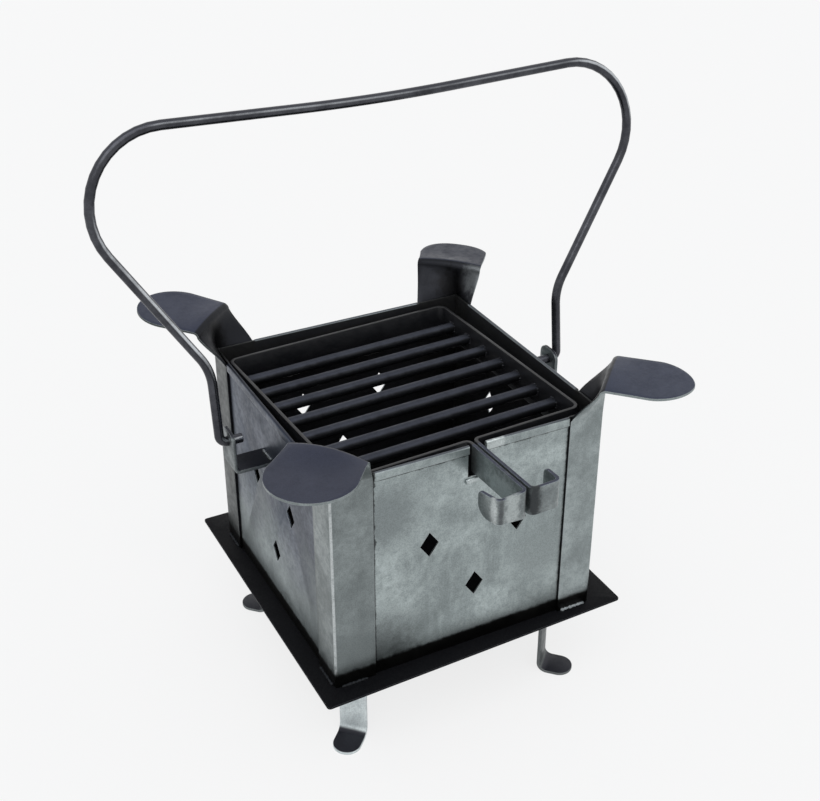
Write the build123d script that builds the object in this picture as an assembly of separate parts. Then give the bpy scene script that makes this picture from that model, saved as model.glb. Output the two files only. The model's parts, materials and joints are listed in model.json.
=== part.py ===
from build123d import *

import math
import os

# Square camp stove in sheet steel, in millimetres. Z = 0 is the ground under the feet and
# -Y is the front, where the grate's handle is. The pieces are made round the middle of the
# fire box and all moved together at the end.

# Fire box: four sheet walls inside four folded corner posts, standing on a flat tray
body_width = 250.0  # over the corner posts, along X and along Y
body_height = 201.0  # from the tray to the rim
panel_sheet = 1.5
hem_depth = 7.5  # how far down the outside a wall's top edge is folded
hem_opening = 0.4  # air left inside the fold
hem_end_gap = 1.0  # from a hem's end to the post beside it

# Air holes: two diamonds side by side in each wall and one lower, between them
air_hole_width = 17.0
air_hole_height = 24.0

# Each wall's pattern was marked out by hand. Seen from outside: how far the upper holes stand
# to each side of the pattern's middle, how far that middle is to the right of the wall's own,
# and how far the upper pair and the lower hole are below the rim.
hole_patterns = {
    "front": (42.0, 5.0, 85.0, 139.0),
    "right": (45.0, 7.0, 85.0, 138.0),
    "back": (40.0, 2.0, 78.0, 137.0),
    "left": (38.0, 0.0, 83.0, 143.0),
}

# Slot in the front wall, open at the rim, for the grate's handle
slot_width = 15.5
slot_centre = 5.0
slot_depth = 31.0

# Corner posts: a strip folded to an L below the rim, opened flat above it and bent outwards
# into a round-ended tongue that carries a pot
post_sheet = 2.0
post_leg = 35.0
tongue_neck = 62.0  # width at the bend
tongue_bend_radius = 4.0

# Each post was cut and bent by hand. In turn: how far its tongue's top stands above the rim,
# the tongue's reach from the post's corner to its tip, its greatest width, how many degrees
# it hangs below level, and how far the fold runs to one side of the strip's middle.
posts = (
    ("front_left", 32.5, 70.0, 71.0, 0.0, 2.0),
    ("front_right", 33.0, 70.0, 63.5, 0.0, 2.0),
    ("back_right", 30.0, 55.0, 68.0, 4.0, 8.5),
    ("back_left", 29.0, 70.0, 67.0, -6.0, -3.0),
)

# Tray
tray_sheet = 2.0
tray_corner_cut = 3.0
tray_left = 140.0  # from the fire box's middle to each edge
tray_right = 152.5
tray_back = 155.0
tray_front = 139.5
tray_front_slant = 8.0  # the front edge's right end stands this much further back

# Feet: flat strips under the tray's corners, bent outwards into round pads
foot_height = 82.0  # from the ground to the tray's underside
foot_width = 25.0
foot_sheet = 3.0
foot_setback = 38.0  # along the diagonal, from the post's corner in to the strip
foot_pad_reach = 28.0  # from the strip's outer face to the pad's tip
foot_bend_radius = 7.0

# Bail: one round rod with turned-in ends, leaning back a little from upright
rod_diameter = 8.0
pivot_drop = 23.0  # from the rim down to the ear holes
pivot_setback = 6.0  # of the ears and their holes, behind the fire box's middle
bail_leg_gap = 39.0  # from the posts' faces out to the middle of each lower leg
bail_neck = 65.0  # from the pivots to where the legs splay
bail_splay = 32.0  # degrees from the bail's own upright
bail_height = 268.0  # from the pivots to where the legs and the top bar would meet, unrounded
bail_sag = 10.0  # of the top bar's middle, below that
bail_lean = 7.0  # degrees from vertical, as the bail stands
end_bend_radius = 6.5
neck_bend_radius = 24.0
shoulder_radius = 60.0
sag_radius = 2000.0
rod_end_length = 10.0  # past the ear's inner face
rod_end_chamfer = 0.8

# Ears: bent strips welded to the side walls, each with a hole for the bail's end
ear_width = 25.0
ear_sheet = 3.0
ear_drop = 25.0  # from the hole down to the middle of the leg
ear_top = 10.5  # from the hole up to the ear's end
ear_bend_radius = 4.0  # at the middle of the strip
ear_corner_radius = 8.0
ear_hole_clearance = 0.08  # all round the rod

# Grate: one flat bar bent round to a square, its two ends brought out of the front as hooks
strip_height = 25.0
strip_sheet = 3.0
grate_gap = 10.0  # from the walls, all round
grate_drop = 3.0  # from the rim down to the strip's top edge
grate_corner_radius = 7.0
grate_turn = 2.6  # degrees: the grate lies in the box a little askew
grate_shift_x = -2.9  # of the grate's middle from the fire box's middle
grate_shift_y = -2.0
handle_reach = 81.5  # from the front of the square to the front of the hooks
handle_centre = 4.0  # where the two ends leave the front of the square
handle_seam = 2.0  # between the two ends
left_hook_width = 29.0  # from between the two ends to the hook's outer face
right_hook_width = 29.5
left_hook_splay = 4.5  # how far the left hook's end stands out further still
hook_return = 21.0  # from the hooks' front back to a strip's end
hook_radius = 4.5  # at the middle of the strip
hook_end_radius = 6.0
bar_diameter = 10.0
bar_count = 7
bar_drop = 17.0  # from the rim down to the bars' middles
bar_end_gap = 20.0  # from the back strip's inner face to the first bar's middle
bar_front_gap = 32.0  # from the front strip's inner face to the last bar's middle

# Ledges: angle strips inside the left and right walls, which the grate stands on
ledge_inset = 20.0  # from the posts' faces in to each end
ledge_width = 20.0
ledge_height = 10.0
ledge_sheet = 2.5
ledge_gap = 0.3  # left under the grate

# Weld beads
bead = 2.5
post_bead_length = 24.0
foot_bead_length = 20.0
ear_bead_length = 18.0
ledge_bead_length = 20.0
ledge_bead_inset = 30.0  # from a ledge's end to the middle of the bead near it
bar_bead = 1.5  # along the bar and out from it
bar_bead_edge = 0.4  # how thick the ring round a bar still is at its thin end

# Places that follow from the sizes
root2 = math.sqrt(2)
tray_top = foot_height + tray_sheet
rim = tray_top + body_height
wall_face = body_width / 2 - post_sheet
wall_inside = wall_face - panel_sheet
pivot_height = rim - pivot_drop
bail_waist = body_width + 2 * bail_leg_gap
ear_face = bail_waist / 2 - end_bend_radius
ear_leg_height = pivot_height - ear_drop
strip_face = wall_inside - grate_gap
strip_bottom = rim - grate_drop - strip_height
handle_front = strip_face + handle_reach
ledge_top = strip_bottom - ledge_gap
ledge_length = body_width - 2 * ledge_inset
ledge_bead_spread = ledge_length / 2 - ledge_bead_inset
bar_end = strip_face - strip_sheet
bar_pitch = (2 * bar_end - bar_end_gap - bar_front_gap) / (bar_count - 1)
grate_seat = Pos(grate_shift_x, grate_shift_y, 0) * Rot(0, 0, grate_turn)
CENTRE, LOW, HIGH = Align.CENTER, Align.MIN, Align.MAX


def bent_strip(points, radius, thickness, width):
    """A flat bar bent along a line in the XY plane, standing up along Z from 0."""
    line = FilletPolyline(*points, radius=radius)
    return extrude(trace(line, line_width=thickness), amount=width)


def round_ended(neck, width, length):
    """A plate outline along +X: a straight neck on the Y axis and a round far end."""
    middle = length - width / 2
    sides = Polyline((middle, width / 2), (0, neck / 2), (0, -neck / 2), (middle, -width / 2))
    end = ThreePointArc((middle, -width / 2), (length, 0), (middle, width / 2))
    return make_face(sides + end)


def bead_along_x(length, size):
    """A quarter-round bead in the corner of the planes Y = 0 and Z = 0."""
    corner_lines = Polyline((0, size), (0, 0), (size, 0))
    surface = RadiusArc((size, 0), (0, size), size)
    section = Plane.YZ * make_face(corner_lines + surface)
    return extrude(section, amount=length / 2, both=True)


def corner(number):
    """A post's outer corner on the ground, with +X along the diagonal outwards."""
    return Rot(0, 0, 90 * number - 135) * Pos(body_width / root2, 0, 0)


def make_panel(length, low_shift, high_shift, hole_pattern):
    """A wall with its outer face on Y = 0, looking towards -Y, and its lower edge on Z = 0.

    Its hem ends just short of the posts' legs, wherever their folds put them.
    """
    wall = Box(length, panel_sheet, body_height, align=(CENTRE, LOW, LOW))
    hem_half = body_width / 2 - post_leg - hem_end_gap
    hem_length = 2 * hem_half + high_shift - low_shift
    fold = 2 * panel_sheet + hem_opening
    at_rim = Pos((low_shift + high_shift) / 2, panel_sheet, body_height)
    wall -= at_rim * Box(hem_length, panel_sheet, hem_depth, align=(CENTRE, HIGH, HIGH))
    hem = at_rim * Box(hem_length, fold, hem_depth, align=(CENTRE, HIGH, HIGH))
    hem = fillet(hem.edges().filter_by(Axis.X).group_by(Axis.Z)[-1], 0.45 * fold)
    fold_depth = hem_depth - panel_sheet
    inside = Box(hem_length, hem_opening, fold_depth, align=(CENTRE, HIGH, HIGH))
    wall += hem - at_rim * Pos(0, -panel_sheet, -panel_sheet) * inside
    low, side, high = -air_hole_height / 2, air_hole_width / 2, air_hole_height / 2
    outline = make_face(Polyline((0, low), (side, 0), (0, high), (-side, 0), close=True))
    cutter = extrude(Plane.XZ * outline, amount=2 * fold, both=True)
    spread, centre, upper_drop, lower_drop = hole_pattern
    for x, drop in ((-spread, upper_drop), (spread, upper_drop), (0, lower_drop)):
        wall -= Pos(centre + x, 0, body_height - drop) * cutter
    return wall


def cut_slot(panel):
    slot = Box(slot_width, 8 * panel_sheet, slot_depth, align=(CENTRE, CENTRE, HIGH))
    return panel - Pos(slot_centre, 0, body_height) * slot


def place_panel(panel, turn):
    return Rot(0, 0, turn) * Pos(0, -wall_face, tray_top) * panel


def make_post(rise, reach, width, droop, shift):
    """A corner post with its outer corner on the Z axis and the diagonal along +X."""
    left = (post_leg + shift) / root2
    right = (post_leg - shift) / root2
    skin = post_sheet / root2
    left_edge = shift + tongue_neck / 2
    right_edge = shift - tongue_neck / 2
    bend_start = rim + rise - post_sheet - tongue_bend_radius
    folded = make_face(
        Polyline(
            (0, 0),
            (-left, left),
            (-left - skin, left - skin),
            (-post_sheet * root2, 0),
            (-right - skin, skin - right),
            (-right, -right),
            close=True,
        )
    )
    opened = make_face(
        Polyline(
            (0, 0),
            (0, left_edge),
            (-post_sheet, left_edge),
            (-post_sheet, 0),
            (-post_sheet, right_edge),
            (0, right_edge),
            close=True,
        )
    )
    lower = extrude(Pos(0, 0, tray_top) * folded, amount=body_height)
    upper = loft([Pos(0, 0, rim) * folded, Pos(0, 0, bend_start) * opened], ruled=True)
    bend_axis = Axis((tongue_bend_radius, 0, bend_start), (0, 1, 0))
    bend = revolve(Pos(0, 0, bend_start) * opened, bend_axis, 90 + droop)
    length = reach - tongue_bend_radius
    tongue = extrude(round_ended(tongue_neck, width, length), amount=post_sheet)
    hinge = Pos(tongue_bend_radius, shift, bend_start)
    tongue = hinge * Rot(0, droop, 0) * Pos(0, 0, tongue_bend_radius) * tongue
    return lower + upper + bend + tongue


def make_tray():
    outline = make_face(
        Polyline(
            (-tray_left, -tray_front - tray_front_slant / 2),
            (tray_right, -tray_front + tray_front_slant / 2),
            (tray_right, tray_back),
            (-tray_left, tray_back),
            close=True,
        )
    )
    tray = extrude(outline, amount=tray_sheet)
    tray = chamfer(tray.edges().filter_by(Axis.Z), tray_corner_cut)
    return Pos(0, 0, foot_height) * tray


def make_foot():
    """A foot in the same place as its post: the diagonal is along +X."""
    bend_end = foot_sheet + foot_bend_radius
    section = Rectangle(foot_sheet, foot_width, align=(HIGH, CENTRE))
    at_bend = Pos(-foot_setback, 0, bend_end)
    strip = extrude(at_bend * section, amount=foot_height - bend_end)
    bend_axis = Axis((foot_bend_radius - foot_setback, 0, bend_end), (0, -1, 0))
    bend = revolve(at_bend * section, bend_axis, 90)
    length = foot_pad_reach - foot_bend_radius
    pad = extrude(round_ended(foot_width, foot_width, length), amount=foot_sheet)
    return strip + bend + Pos(foot_bend_radius - foot_setback, 0, 0) * pad


def make_ear():
    """The right ear: its leg meets the wall's face, and its hole is on the pivot line."""
    middle = ear_face - ear_sheet / 2
    points = (
        (wall_face, ear_leg_height),
        (middle, ear_leg_height),
        (middle, pivot_height + ear_top),
    )
    ear = bent_strip(points, ear_bend_radius, ear_sheet, ear_width)
    ear = Rot(90, 0, 0) * Pos(0, 0, -ear_width / 2) * ear
    ear = fillet(ear.edges().filter_by(Axis.X).group_by(Axis.Z)[-1], ear_corner_radius)
    hole_radius = rod_diameter / 2 + ear_hole_clearance
    ear -= Pos(middle, 0, pivot_height) * Rot(0, 90, 0) * Cylinder(hole_radius, 3 * ear_sheet)
    return Pos(0, pivot_setback, 0) * ear


def make_bail():
    waist = bail_waist / 2
    tip = ear_face - ear_sheet - rod_end_length
    shoulder = waist + math.tan(math.radians(bail_splay)) * (bail_height - bail_neck)
    middle = bail_height - bail_sag
    line = FilletPolyline(
        (-tip, 0, 0),
        (-waist, 0, 0),
        (-waist, 0, bail_neck),
        (-shoulder, 0, bail_height),
        (0, 0, middle),
        (shoulder, 0, bail_height),
        (waist, 0, bail_neck),
        (waist, 0, 0),
        (tip, 0, 0),
        radius=[
            end_bend_radius,
            neck_bend_radius,
            shoulder_radius,
            sag_radius,
            shoulder_radius,
            neck_bend_radius,
            end_bend_radius,
        ],
    )
    start = Plane(origin=line @ 0, z_dir=line % 0)
    rod = sweep(start * Circle(rod_diameter / 2), path=line)
    rod = chamfer(rod.faces().filter_by(GeomType.PLANE).edges(), rod_end_chamfer)
    return Pos(0, pivot_setback, pivot_height) * Rot(-bail_lean, 0, 0) * rod


def make_grate_frame():
    side = strip_face - strip_sheet / 2
    front = strip_sheet / 2 - handle_front
    apart = (handle_seam + strip_sheet) / 2
    left_hook = handle_centre - left_hook_width + strip_sheet / 2
    right_hook = handle_centre + right_hook_width - strip_sheet / 2
    hook_end = hook_return - handle_front
    points = (
        (left_hook - left_hook_splay, hook_end),
        (left_hook, front),
        (handle_centre - apart, front),
        (handle_centre - apart, -side),
        (-side, -side),
        (-side, side),
        (side, side),
        (side, -side),
        (handle_centre + apart, -side),
        (handle_centre + apart, front),
        (right_hook, front),
        (right_hook, hook_end),
    )
    radii = [hook_radius] * 3 + [grate_corner_radius] * 4 + [hook_radius] * 3
    frame = bent_strip(points, radii, strip_sheet, strip_height)
    ends = frame.faces().sort_by(SortBy.AREA)[:2]
    short_edges = [edge for end in ends for edge in end.edges() if edge.length < 2 * strip_sheet]
    frame = fillet(short_edges, hook_end_radius)
    return Pos(0, 0, strip_bottom) * frame


def make_bar():
    return Rot(0, 90, 0) * Cylinder(bar_diameter / 2, 2 * bar_end)


def bar_places():
    """Where the bars' middles are in the grate, from the back of the square to the front."""
    first = bar_end - bar_end_gap
    return [Pos(0, first - i * bar_pitch, rim - bar_drop) for i in range(bar_count)]


def make_grate_welds():
    """A small ring of weld round each end of each bar, against the square's inner face."""
    around = bar_diameter / 2
    ring = Cone(around + bar_bead, around + bar_bead_edge, bar_bead, align=(CENTRE, CENTRE, LOW))
    ring -= Cylinder(around, 3 * bar_bead)
    left = Pos(-bar_end, 0, 0) * Rot(0, 90, 0) * ring
    pair = left + mirror(left, about=Plane.YZ)
    return Part() + [place * pair for place in bar_places()]


def make_ledge():
    """The right ledge: one leg on the wall, the other turned in under the grate."""
    top = Pos(wall_inside, 0, ledge_top)
    shelf = top * Box(ledge_width, ledge_length, ledge_sheet, align=(HIGH, CENTRE, HIGH))
    return shelf + top * Box(ledge_sheet, ledge_length, ledge_height, align=(HIGH, CENTRE, HIGH))


def make_post_welds():
    """Beads on the tray along both outer faces of each post."""
    run = bead_along_x(post_bead_length, bead)
    middle = (body_width - post_leg) / 2
    beads = []
    for turn in (0, 90, 180, 270):
        for x in (-middle, middle):
            beads.append(Rot(0, 0, turn) * Pos(x, body_width / 2, tray_top) * run)
    return Part() + beads


def make_foot_welds():
    """Beads under the tray along both faces of each foot."""
    run = Rot(-90, 0, 0) * bead_along_x(foot_bead_length, bead)
    outer = Pos(-foot_setback, 0, foot_height) * Rot(0, 0, -90) * run
    inner = Pos(-foot_setback - foot_sheet, 0, foot_height) * Rot(0, 0, 90) * run
    return Part() + [corner(number) * (outer + inner) for number in range(4)]


def make_ear_welds():
    """Beads on the side walls above and below each ear's leg."""
    run = bead_along_x(ear_bead_length, bead)
    at_wall = Pos(wall_face, pivot_setback, ear_leg_height)
    above = at_wall * Pos(0, 0, ear_sheet / 2) * Rot(0, 0, -90) * run
    below = at_wall * Pos(0, 0, -ear_sheet / 2) * Rot(0, 0, -90) * Rot(-90, 0, 0) * run
    right = above + below
    return right + mirror(right, about=Plane.YZ)


def make_ledge_welds():
    """Beads inside the side walls, under each ledge's leg."""
    run = Rot(0, 0, 90) * Rot(-90, 0, 0) * bead_along_x(ledge_bead_length, bead)
    low = Pos(wall_inside, 0, ledge_top - ledge_height)
    right = Part() + [low * Pos(0, y, 0) * run for y in (-ledge_bead_spread, ledge_bead_spread)]
    return right + mirror(right, about=Plane.YZ)


# The front and back walls reach the posts on both sides; the side walls fit between them
long_wall = 2 * wall_face
short_wall = 2 * wall_inside
front_left_fold, front_right_fold, back_right_fold, back_left_fold = (post[-1] for post in posts)
front_wall = make_panel(long_wall, front_left_fold, front_right_fold, hole_patterns["front"])
right_wall = make_panel(short_wall, front_right_fold, back_right_fold, hole_patterns["right"])
back_wall = make_panel(long_wall, back_right_fold, back_left_fold, hole_patterns["back"])
left_wall = make_panel(short_wall, back_left_fold, front_left_fold, hole_patterns["left"])
pieces = {
    "front_panel": place_panel(cut_slot(front_wall), 0),
    "right_panel": place_panel(right_wall, 90),
    "back_panel": place_panel(back_wall, 180),
    "left_panel": place_panel(left_wall, 270),
    "base_tray": make_tray(),
    "left_ear": mirror(make_ear(), about=Plane.YZ),
    "right_ear": make_ear(),
    "left_grate_ledge": mirror(make_ledge(), about=Plane.YZ),
    "right_grate_ledge": make_ledge(),
    "post_welds": make_post_welds(),
    "foot_welds": make_foot_welds(),
    "ear_welds": make_ear_welds(),
    "ledge_welds": make_ledge_welds(),
    "grate_frame": grate_seat * make_grate_frame(),
    "grate_welds": grate_seat * make_grate_welds(),
    "bail_handle": make_bail(),
}
for number, (name, rise, reach, width, droop, shift) in enumerate(posts):
    pieces["corner_post_" + name] = corner(number) * make_post(rise, reach, width, droop, shift)
    pieces["foot_" + name] = corner(number) * make_foot()
for number, place in enumerate(bar_places(), start=1):
    pieces["grate_bar_" + str(number)] = grate_seat * place * make_bar()

# The handle reaches further forward than the tongues reach back, so the whole stove moves
# back to put the middle of its outline over the origin
reach_front = min(piece.bounding_box().min.Y for piece in pieces.values())
reach_back = max(piece.bounding_box().max.Y for piece in pieces.values())
centring = Pos(0, -(reach_front + reach_back) / 2, 0)

os.makedirs("parts", exist_ok=True)
for name, piece in pieces.items():
    export_step(centring * piece, "parts/" + name + ".step")
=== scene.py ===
import json
import math

import bmesh
import bpy
from mathutils import Matrix, Vector


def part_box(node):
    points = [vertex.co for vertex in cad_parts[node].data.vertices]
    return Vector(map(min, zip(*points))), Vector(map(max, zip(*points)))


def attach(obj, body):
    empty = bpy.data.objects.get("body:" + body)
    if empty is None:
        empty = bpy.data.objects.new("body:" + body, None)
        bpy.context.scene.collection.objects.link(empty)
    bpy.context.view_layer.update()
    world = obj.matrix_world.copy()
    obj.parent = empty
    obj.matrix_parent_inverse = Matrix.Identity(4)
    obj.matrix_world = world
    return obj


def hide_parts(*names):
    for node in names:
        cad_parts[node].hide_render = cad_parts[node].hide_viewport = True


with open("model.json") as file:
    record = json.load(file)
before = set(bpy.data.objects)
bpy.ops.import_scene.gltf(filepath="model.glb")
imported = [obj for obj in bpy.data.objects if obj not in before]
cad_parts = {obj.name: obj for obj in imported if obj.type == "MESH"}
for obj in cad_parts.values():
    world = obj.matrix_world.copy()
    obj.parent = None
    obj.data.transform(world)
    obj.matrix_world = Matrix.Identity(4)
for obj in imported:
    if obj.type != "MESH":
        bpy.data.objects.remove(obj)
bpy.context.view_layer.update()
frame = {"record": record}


# ----------------------------------------
# The tray: one square of 2 mm plate that everything stands on. It was sheared
# by hand, so its four margins differ and its front edge runs a little askew.
# It was left black from the mill and catches the light only along its edges.
# ----------------------------------------
def set_down(name):
    """Names the piece that was just added and opens it for work with nothing picked."""
    piece = bpy.context.active_object
    piece.name = name
    piece.data.name = name
    bpy.ops.object.mode_set(mode="EDIT")
    bpy.ops.mesh.select_all(action="DESELECT")
    return piece


def pick(piece, kind, test):
    """Picks only the faces, edges or vertices that pass the test."""
    bpy.ops.mesh.select_mode(type=kind)
    bpy.ops.mesh.select_all(action="DESELECT")
    mesh = bmesh.from_edit_mesh(piece.data)
    parts = {"FACE": mesh.faces, "EDGE": mesh.edges, "VERT": mesh.verts}[kind]
    for part in parts:
        if test(part):
            part.select_set(True)
    mesh.select_flush_mode()
    bmesh.update_edit_mesh(piece.data)


def middle(edge):
    return (edge.verts[0].co + edge.verts[1].co) / 2


def run_of(edge):
    return (edge.verts[1].co - edge.verts[0].co).normalized()


def soften(piece, width, segments=2, angle=32):
    """Takes the sharpness off a finished piece's edges and shades its bends smooth."""
    if piece.mode == "EDIT":
        bpy.ops.object.mode_set(mode="OBJECT")
    bpy.ops.object.select_all(action="DESELECT")
    piece.select_set(True)
    bpy.context.view_layer.objects.active = piece
    bpy.ops.object.transform_apply(location=True, rotation=True, scale=True)
    worn = piece.modifiers.new("worn edges", "BEVEL")
    worn.width = width
    worn.segments = segments
    worn.limit_method = "ANGLE"
    worn.angle_limit = math.radians(angle)
    worn.use_clamp_overlap = True
    bpy.ops.object.modifier_apply(modifier=worn.name)
    bpy.ops.object.shade_smooth_by_angle(angle=math.radians(40))


def fit(piece, material, body, slot, *nodes):
    """Gives a piece its finish and puts it in the place of its plain solids."""
    piece.data.materials.clear()
    piece.data.materials.append(material)
    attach(piece, body)
    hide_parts(*nodes)


def steel(name, light, dull, top, rough, patch=26.0, grain=(60.0, 60.0, 60.0), inside=None,
          edge=None, edge_size=0.0009, gloss_spread=0.12, metal=0.9, dents=0.10, low=None,
          inward=None, fold=None, highlight_streak=None, painted_seam_shade=None, painted_reflection_fade=None, sheen=0.5, spots=()):
    """Bare sheet steel: cloudy patches, rolling grain, specks, worn edges with a painted highlight, and painted
    shading where it faces upwards.

    light and dull are the two tones of its patches, and top is painted shading where it faces upwards, for the
    light and shade such faces reflect.
    rough is its gloss where it is smoothest, patch and grain the scales of its patches and of
    its rolling lines, edge the tone of its worn edges, which is also a painted highlight along them, and dents
    the depth of its relief.
    The rest are touches that only some pieces have, and each is explained where it is made.
    """
    material = bpy.data.materials.new(name)
    material.use_nodes = True
    nodes = material.node_tree.nodes
    links = material.node_tree.links
    shader = nodes["Principled BSDF"]
    shader.inputs["Metallic"].default_value = metal
    shader.inputs["Specular IOR Level"].default_value = sheen
    place = nodes.new("ShaderNodeTexCoord")

    def noise(scale, detail, roughness, vector, distortion=0.0):
        cloud = nodes.new("ShaderNodeTexNoise")
        cloud.inputs["Scale"].default_value = scale
        cloud.inputs["Detail"].default_value = detail
        cloud.inputs["Roughness"].default_value = roughness
        cloud.inputs["Distortion"].default_value = distortion
        links.new(vector, cloud.inputs["Vector"])
        return cloud.outputs["Fac"]

    def span(value, low, high, to_low=0.0, to_high=1.0):
        ramp = nodes.new("ShaderNodeMapRange")
        ramp.interpolation_type = "SMOOTHSTEP"
        links.new(value, ramp.inputs["Value"])
        ramp.inputs["From Min"].default_value = low
        ramp.inputs["From Max"].default_value = high
        ramp.inputs["To Min"].default_value = to_low
        ramp.inputs["To Max"].default_value = to_high
        return ramp.outputs["Result"]

    def blend(share, first, second, how="MIX"):
        mix = nodes.new("ShaderNodeMix")
        mix.data_type = "RGBA"
        mix.blend_type = how
        for socket, value in ((mix.inputs[0], share), (mix.inputs[6], first), (mix.inputs[7], second)):
            if isinstance(value, (int, float)):
                socket.default_value = value
            elif isinstance(value, tuple):
                socket.default_value = (*value, 1.0)
            else:
                links.new(value, socket)
        return mix.outputs[2]

    def work(how, first, second):
        node = nodes.new("ShaderNodeMath")
        node.operation = how
        for socket, value in ((node.inputs[0], first), (node.inputs[1], second)):
            if isinstance(value, (int, float)):
                socket.default_value = value
            else:
                links.new(value, socket)
        return node.outputs[0]

    def part_of(vector):
        node = nodes.new("ShaderNodeSeparateXYZ")
        links.new(vector, node.inputs[0])
        return node.outputs

    def reckon(how, first, second=(0, 0, 0)):
        node = nodes.new("ShaderNodeVectorMath")
        node.operation = how
        for socket, value in ((node.inputs[0], first), (node.inputs[1], second)):
            if isinstance(value, (tuple, Vector)):
                socket.default_value = value
            else:
                links.new(value, socket)
        return node.outputs["Value"] if how in ("DOT_PRODUCT", "LENGTH") else node.outputs[0]

    def out_from(centre):
        return part_of(reckon("ABSOLUTE", reckon("SUBTRACT", objects, centre)))

    def marked(ground, marks):
        """Lays spots over a tone, each with its own tone and shape: patches in the steel, and painted highlights
        and painted shade.
        """
        for centre, size, tone, *shape in marks:
            offset = reckon("MULTIPLY", reckon("SUBTRACT", objects, centre), shape[0] if shape else (1, 1, 1))
            near = work("ADD", reckon("LENGTH", offset), span(mottle, 0.2, 0.8, -0.25 * size, 0.25 * size))
            ground = blend(span(near, size, 0.35 * size), ground, tone)
        return ground

    objects = place.outputs["Object"]
    stretch = nodes.new("ShaderNodeMapping")
    stretch.inputs["Scale"].default_value = grain
    links.new(objects, stretch.inputs["Vector"])
    patches = noise(patch, 5.0, 0.58, objects, 0.6)
    streaks = noise(9.0, 4.0, 0.6, stretch.outputs["Vector"])
    specks = noise(900.0, 3.0, 0.75, objects)
    mottle = noise(190.0, 4.0, 0.65, objects)
    colour = blend(span(patches, 0.32, 0.68), dull, light)
    colour = blend(span(streaks, 0.35, 0.7, 0.0, 0.35), colour, light)
    colour = blend(span(mottle, 0.35, 0.7, 0.0, 0.55), colour, dull)
    # worn edges: rubbed wear, and also a painted highlight where their rounding would catch the light
    if edge is not None:
        worn = nodes.new("ShaderNodeBevel")
        worn.samples = 4
        worn.inputs["Radius"].default_value = edge_size
        facing = nodes.new("ShaderNodeNewGeometry")
        rounding = reckon("DOT_PRODUCT", worn.outputs["Normal"], facing.outputs["Normal"])
        rubbed_and_highlit = work("MULTIPLY", span(rounding, 0.985, 0.90), span(mottle, 0.3, 0.6, 0.25, 1.0))
    # painted shading: faces that look upwards take the top tone, darker or lighter than the sides, for the light
    # they would reflect
    up = span(part_of(place.outputs["Normal"])["Z"], 0.45, 0.80)
    shade = blend(span(patches, 0.3, 0.7, 0.0, 0.35), top, tuple(1.5 * c for c in top))
    colour = blend(up, colour, shade)
    if painted_reflection_fade is not None:  # a painted reflection: a tint that comes in slowly from one height to another
        start, end, tone = painted_reflection_fade
        waved = work("ADD", part_of(objects)["Z"], span(patches, 0.3, 0.7, -0.025, 0.025))
        colour = blend(span(waved, start, end), colour, blend(1.0, colour, tone, "MULTIPLY"))
    # the edge tone goes on here: rubbed wear and a painted highlight along the edges
    if edge is not None:
        colour = blend(rubbed_and_highlit, colour, edge)
    if fold is not None:  # a painted highlight: a bright line down the outside of a sharp fold, where its rounding would catch the light
        centre, reach, start, end, tone = fold
        beside = out_from(centre)
        nearest = work("MINIMUM", beside["X"], beside["Y"])
        line = work("MULTIPLY", span(nearest, reach - 0.0008, reach + 0.0001),
                    work("MULTIPLY", span(part_of(objects)["Z"], start, start + 0.003),
                         span(part_of(objects)["Z"], end, end - 0.012)))
        colour = blend(work("MULTIPLY", line, span(mottle, 0.25, 0.5, 0.45, 1.0)), colour, tone)
    if highlight_streak is not None:  # a painted highlight: a bright line along a round rod, on the side that faces the given way
        way, start, end, tone = highlight_streak
        turned = reckon("DOT_PRODUCT", place.outputs["Normal"], way)
        highlight_share = work("MULTIPLY", span(turned, start, end), span(patches, 0.3, 0.6, 0.35, 1.0))
        colour = blend(highlight_share, colour, tone)
    if inward is not None:  # darker on every face that looks in towards the fire, with marks of its own
        centre, tone, marks = inward
        out = reckon("MULTIPLY", reckon("SUBTRACT", objects, centre), (1, 1, 0))
        turned = reckon("DOT_PRODUCT", reckon("NORMALIZE", out), place.outputs["Normal"])
        colour = blend(span(turned, -0.10, -0.40), colour, marked(tone, marks))
    colour = marked(colour, spots)
    if inside is not None:  # darker and not metallic on the faces inside the fire box
        centre, reach, tone = inside
        beside = out_from(centre)
        furthest = work("MAXIMUM", beside["X"], beside["Y"])
        inner_share = span(furthest, reach + 0.0002, reach - 0.0002)
        colour = blend(inner_share, colour, tone)
        links.new(work("MULTIPLY", work("SUBTRACT", 1.0, inner_share), metal), shader.inputs["Metallic"])
    if painted_seam_shade is not None:  # painted shade: dark lines beside the posts and under the hem, on the wall's own face, ragged and pitted along the posts
        centre, turn, start, end, under, face = painted_seam_shade
        level = nodes.new("ShaderNodeMapping")
        links.new(reckon("SUBTRACT", objects, centre), level.inputs["Vector"])
        level.inputs["Rotation"].default_value = (0, 0, math.radians(-turn))
        along = part_of(level.outputs[0])
        waver = span(mottle, 0.2, 0.8, -0.0006, 0.0006)
        across = work("ADD", along["X"], waver)
        pitted = work("ADD", across, span(noise(75.0, 4.0, 0.7, objects), 0.50, 0.68, 0.0, -0.0022))
        beside = work("MAXIMUM", span(pitted, start + 0.0026, start + 0.0012),
                      span(across, end - 0.0014, end - 0.0004))
        high = work("ADD", part_of(objects)["Z"], waver)
        shade_under_hem = work("MULTIPLY", span(high, under - 0.0026, under - 0.0012),
                     work("LESS_THAN", part_of(objects)["Z"], under))
        shade_under_hem = work("MULTIPLY", shade_under_hem, work("GREATER_THAN", along["Y"], -face - 0.0006))
        colour = blend(work("MULTIPLY", work("MAXIMUM", beside, shade_under_hem), 0.85), colour, (0.012, 0.012, 0.012))
    if low is not None:  # a painted reflection of the black tray: a dark band just above the tray, ragged along its top
        height, depth, tone = low
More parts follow.
